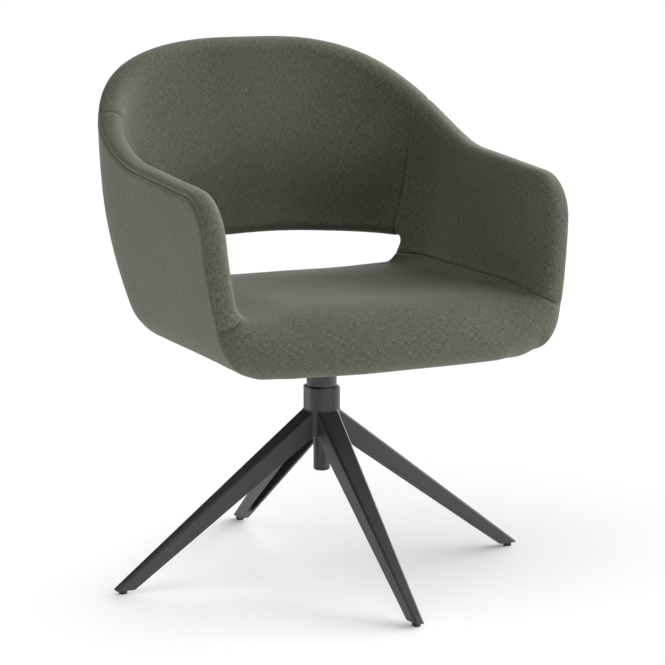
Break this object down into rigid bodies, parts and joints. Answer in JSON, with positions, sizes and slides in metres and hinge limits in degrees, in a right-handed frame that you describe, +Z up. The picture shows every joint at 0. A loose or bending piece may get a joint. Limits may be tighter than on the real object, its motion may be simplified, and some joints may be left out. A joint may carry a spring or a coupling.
{
  "type": "guest chair",
  "caption": "Upholstered tub guest chair: seat, arms and wrap-round back in woven fabric, a cut-out low in the back, and a swivel column on a slim splayed-leg base.",
  "frame": {"origin": "on the floor under the swivel axis, in the middle of the glides", "axes": "+Z up along the swivel axis, the sitter faces -Y, +X to the right of someone facing the chair"},
  "size_m": [0.676, 0.676, 0.8],
  "materials": {
    "base_coat": "satin dark grey powder coat with a fine grain",
    "column_coat": "satin dark grey powder coat",
    "bright_steel": "ground",
    "fastener_steel": "black zinc",
    "frame_steel": "mill finish",
    "glide_plastic": "moulded black",
    "bearing_plastic": "moulded natural",
    "plywood": "unfinished",
    "cover_cloth": "black non-woven",
    "upholstery": "sage green plain weave over foam"
  },
  "bodies": {
    "base": {"base_casting": "base_coat", "glide_right": "glide_plastic", "glide_rear": "glide_plastic", "glide_left": "glide_plastic", "glide_front": "glide_plastic", "column_sleeve": "column_coat", "upper_bush": "bearing_plastic", "lower_bush": "bearing_plastic", "thrust_washer": "bearing_plastic", "sleeve_cap": "glide_plastic"},
    "seat": {"spindle": "bright_steel", "retaining_washer": "bright_steel", "retaining_ring": "bright_steel", "swivel_collar": "column_coat", "seat_plate": "column_coat", "mounting_bolts": "fastener_steel", "bolt_washers": "fastener_steel", "tee_nuts": "fastener_steel", "seat_board": "plywood", "underside_cover": "cover_cloth", "rim_hoop": "frame_steel", "rear_upright_right": "frame_steel", "rear_upright_left": "frame_steel", "back_cross_rod": "frame_steel", "frame_tabs": "frame_steel", "tab_screws": "fastener_steel", "seat_pad": "upholstery", "rear_roll": "upholstery", "arm_pad_right": "upholstery", "arm_pad_left": "upholstery", "back_pad": "upholstery", "outer_panel_right": "upholstery", "outer_panel_left": "upholstery", "outer_back_panel": "upholstery", "lower_back_panel": "upholstery"}
  },
  "joints": [
    {"name": "swivel", "type": "hinge", "parent": "base", "child": "seat", "pos_m": [0, 0, 0.29], "axis": [0, 0, 1], "continuous": true}
  ]
}
